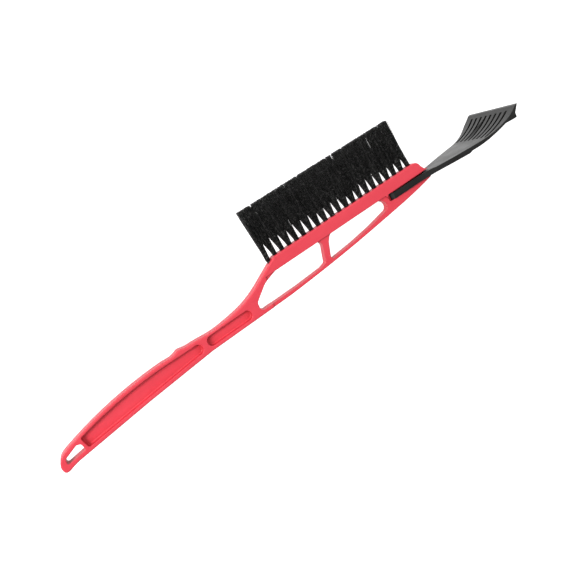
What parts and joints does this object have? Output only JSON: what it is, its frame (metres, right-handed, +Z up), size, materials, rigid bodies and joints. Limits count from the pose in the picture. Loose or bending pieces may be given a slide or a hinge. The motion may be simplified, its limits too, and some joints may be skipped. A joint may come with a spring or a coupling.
{
  "type": "snow brush scraper",
  "caption": "Long-handled snow brush: pocketed grip, open truss head with one row of bristle tufts, and a flared, grooved ice scraper blade at the tip.",
  "frame": {"origin": "on the floor plane under the middle of the bounding box, with the tool lying on its side", "axes": "+X along the tool from the butt of the grip to the scraping edge, +Y from the handle towards the bristle tips, +Z up, across the blade and square to the flat sides of the handle"},
  "size_m": [0.6114, 0.1244, 0.088],
  "materials": {
    "handle_plastic": "smooth red moulded plastic with a soft sheen",
    "blade_plastic": "black satin moulded plastic",
    "bristle": "black drawn filament",
    "anchor_wire": "flat drawn wire"
  },
  "bodies": {
    "handle": {"handle": "handle_plastic", "scraper_blade": "blade_plastic", "tuft_anchors": "anchor_wire", "tuft_roots": "bristle"},
    "bristles": {"bristle_tuft_01": "bristle", "bristle_tuft_02": "bristle", "bristle_tuft_03": "bristle", "bristle_tuft_04": "bristle", "bristle_tuft_05": "bristle", "bristle_tuft_06": "bristle", "bristle_tuft_07": "bristle", "bristle_tuft_08": "bristle", "bristle_tuft_09": "bristle", "bristle_tuft_10": "bristle", "bristle_tuft_11": "bristle", "bristle_tuft_12": "bristle", "bristle_tuft_13": "bristle", "bristle_tuft_14": "bristle", "bristle_tuft_15": "bristle", "bristle_tuft_16": "bristle", "bristle_tuft_17": "bristle", "bristle_tuft_18": "bristle", "bristle_tuft_19": "bristle", "bristle_tuft_20": "bristle", "bristle_tuft_21": "bristle"}
  },
  "joints": [
    {"name": "bristle_flex", "type": "hinge", "parent": "handle", "child": "bristles", "pos_m": [0.078, 0.0036, 0.044], "axis": [1, 0, 0], "range_deg": [-20, 20], "stiffness_Nm_per_rad": 4}
  ]
}
